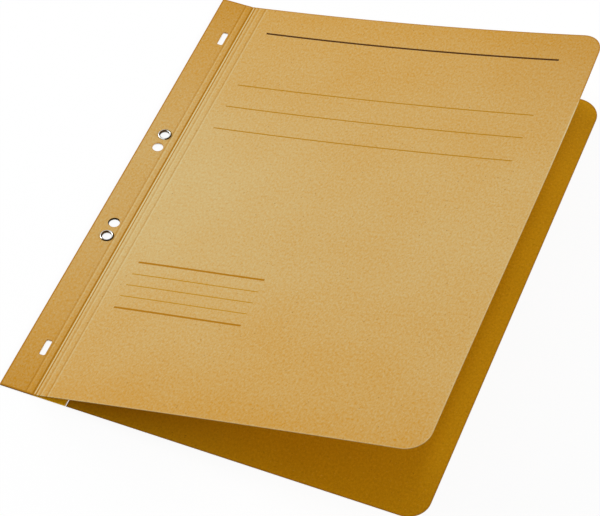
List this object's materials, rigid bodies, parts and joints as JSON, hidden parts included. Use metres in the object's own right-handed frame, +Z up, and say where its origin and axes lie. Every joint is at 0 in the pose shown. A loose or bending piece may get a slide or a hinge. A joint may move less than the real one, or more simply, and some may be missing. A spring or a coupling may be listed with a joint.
{
  "type": "fastener folder",
  "caption": "A4 manila card fastener folder with a punched filing strip, metal eyelets, creased hinge and a lifted front cover over a prong fastener with a cover rail and sliders.",
  "frame": {"origin": "on the surface that the folder lies on, under the middle of the back cover", "axes": "+X from the filing edge to the fore-edge, +Y along the spine, +Z up through the lifted front cover"},
  "size_m": [0.238, 0.305, 0.0622],
  "materials": {
    "manila_card": "matte, fine speckle",
    "golden_card": "matte, fine speckle",
    "eyelet_metal": "bright nickel plate",
    "fastener_metal": "satin tin plate",
    "slider_metal": "satin tin plate"
  },
  "bodies": {
    "back": {"back_cover": "golden_card", "liner": "golden_card", "spine_band": "manila_card", "fastener_tongue": "fastener_metal", "cover_rail": "fastener_metal"},
    "filing_strip": {"strip_back_layer": "golden_card", "strip_liner_layer": "golden_card", "strip_front_layer": "manila_card", "eyelet_upper": "eyelet_metal", "eyelet_lower": "eyelet_metal"},
    "hinge": {"hinge_panel": "manila_card"},
    "cover": {"front_cover": "manila_card"},
    "upper_slider": {"slider_upper": "slider_metal"},
    "lower_slider": {"slider_lower": "slider_metal"}
  },
  "joints": [
    {"name": "strip_bend", "type": "hinge", "parent": "back", "child": "filing_strip", "pos_m": [-0.1038, 0, 0.00125], "axis": [0, 1, 0], "range_deg": [0, 30]},
    {"name": "cover_fold", "type": "hinge", "parent": "back", "child": "hinge", "pos_m": [-0.0995, 0, 0.00125], "axis": [0, -1, 0], "range_deg": [-5, 125]},
    {"name": "cover_flex", "type": "hinge", "parent": "hinge", "child": "cover", "pos_m": [-0.09149, 0, 0.00343], "axis": [0, -1, 0], "range_deg": [-7, 14]},
    {"name": "upper_slide", "type": "slide", "parent": "back", "child": "upper_slider", "axis": [0, 1, 0], "range_m": [-0.0175, 0.009]},
    {"name": "lower_slide", "type": "slide", "parent": "back", "child": "lower_slider", "axis": [0, -1, 0], "range_m": [-0.0175, 0.009]}
  ]
}
